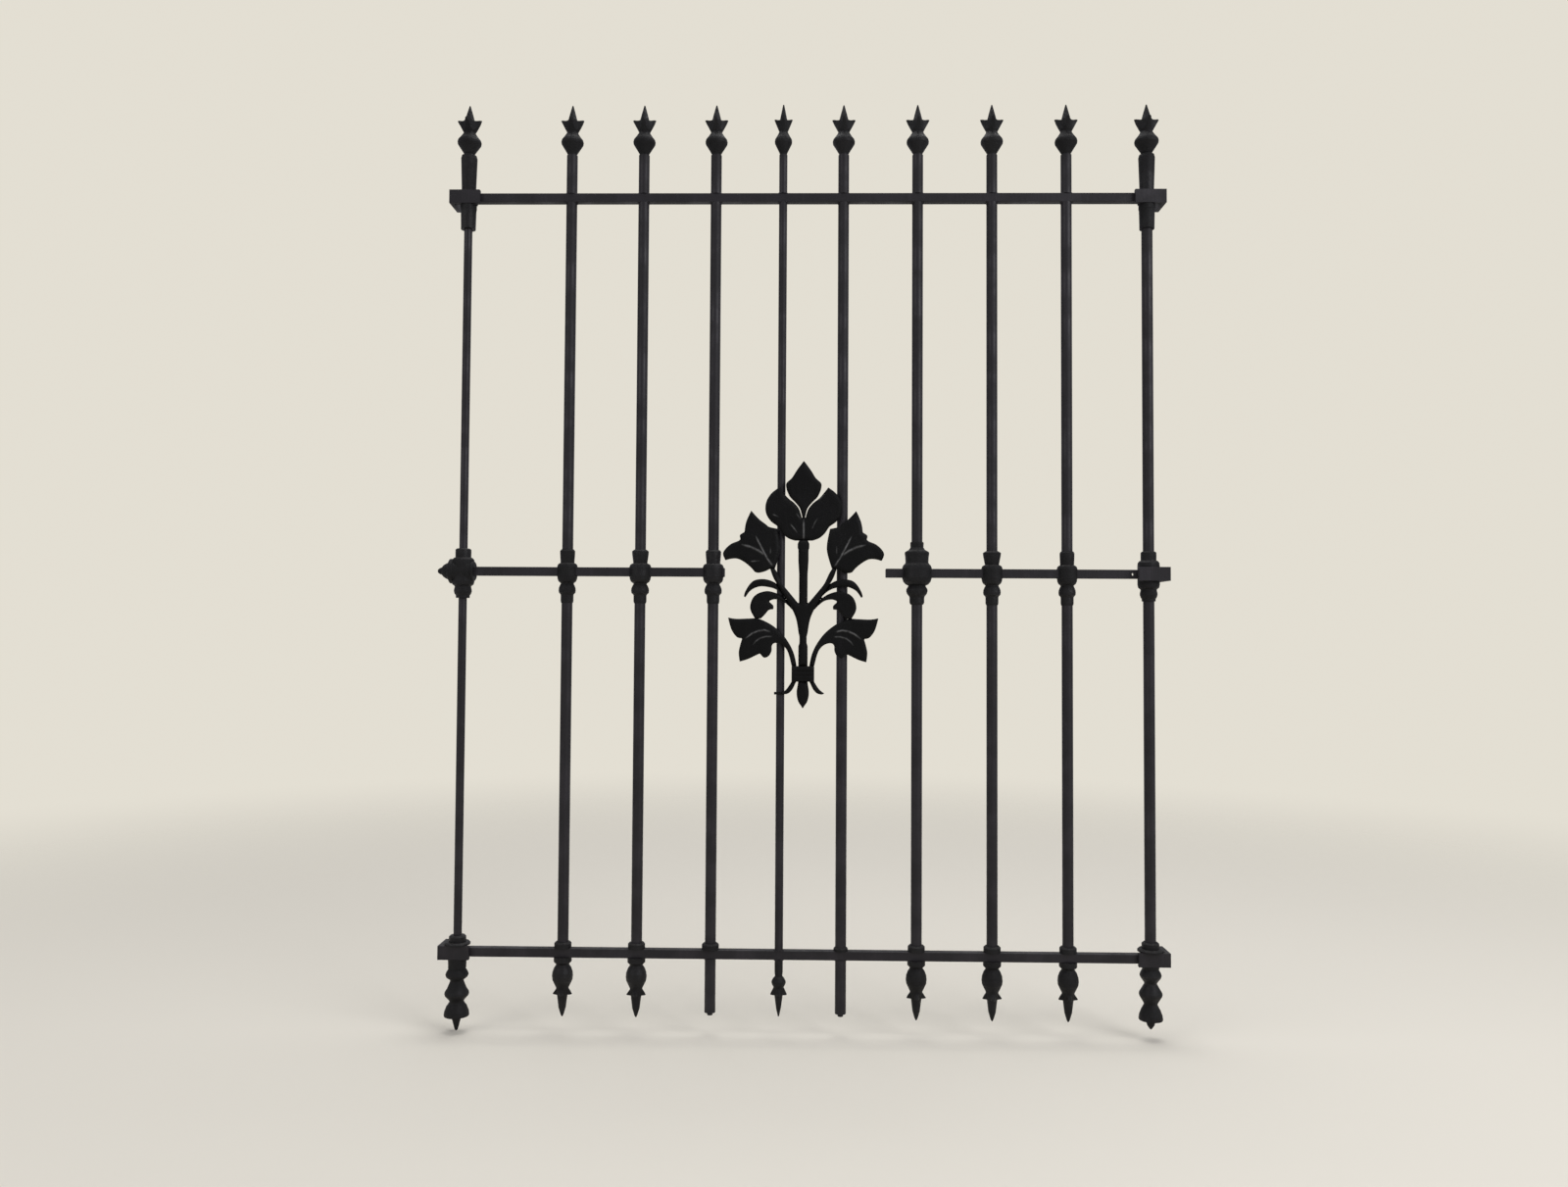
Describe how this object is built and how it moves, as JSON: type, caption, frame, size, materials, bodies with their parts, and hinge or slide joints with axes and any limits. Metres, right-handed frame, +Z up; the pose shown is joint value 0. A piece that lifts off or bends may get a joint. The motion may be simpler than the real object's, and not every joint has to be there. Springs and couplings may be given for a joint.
{
  "type": "window grille",
  "caption": "Wall-mounted iron window grille: upright bars on square rails, with spear finials, cast knuckles, flat wall brackets and a flower ornament in the middle.",
  "frame": {"origin": "middle of the wall end of the lower left bracket, on the wall's face", "axes": "+X to the right seen from outside, +Y into the wall, +Z up; the grille stands in front of the wall, at negative Y"},
  "size_m": [1.073, 0.052, 1.3712],
  "materials": {
    "bar_paint": "black satin paint over rolled steel bar, slightly dusty",
    "casting_paint": "black satin paint over cast iron, worn on the raised edges"
  },
  "bodies": {
    "root": {"top_rail": "bar_paint", "middle_rail_left": "bar_paint", "middle_rail_right": "bar_paint", "bottom_rail": "bar_paint", "upright_1": "bar_paint", "upright_2": "bar_paint", "upright_3": "bar_paint", "upright_4": "bar_paint", "upright_5": "bar_paint", "upright_6": "bar_paint", "upright_7": "bar_paint", "upright_8": "bar_paint", "upright_9": "bar_paint", "upright_10": "bar_paint", "top_left_bracket": "bar_paint", "top_right_bracket": "bar_paint", "middle_right_bracket": "bar_paint", "bottom_left_bracket": "bar_paint", "bottom_right_bracket": "bar_paint", "knuckle_1": "casting_paint", "knuckle_2": "casting_paint", "knuckle_3": "casting_paint", "knuckle_4": "casting_paint", "knuckle_7": "casting_paint", "knuckle_8": "casting_paint", "knuckle_9": "casting_paint", "knuckle_10": "casting_paint", "spear_finials": "casting_paint", "slim_spear_finial": "casting_paint", "post_finials": "casting_paint", "drop_finials": "casting_paint", "slim_drop_finial": "casting_paint", "post_drops": "casting_paint", "post_sleeves": "casting_paint", "rail_collars": "casting_paint", "ornament_stem": "casting_paint", "top_flower": "casting_paint", "left_flower": "casting_paint", "right_flower": "casting_paint", "left_curled_leaf": "casting_paint", "right_curled_leaf": "casting_paint", "left_low_leaf": "casting_paint", "right_low_leaf": "casting_paint", "foot_scrolls": "casting_paint", "tie_band": "casting_paint"}
  },
  "joints": []
}
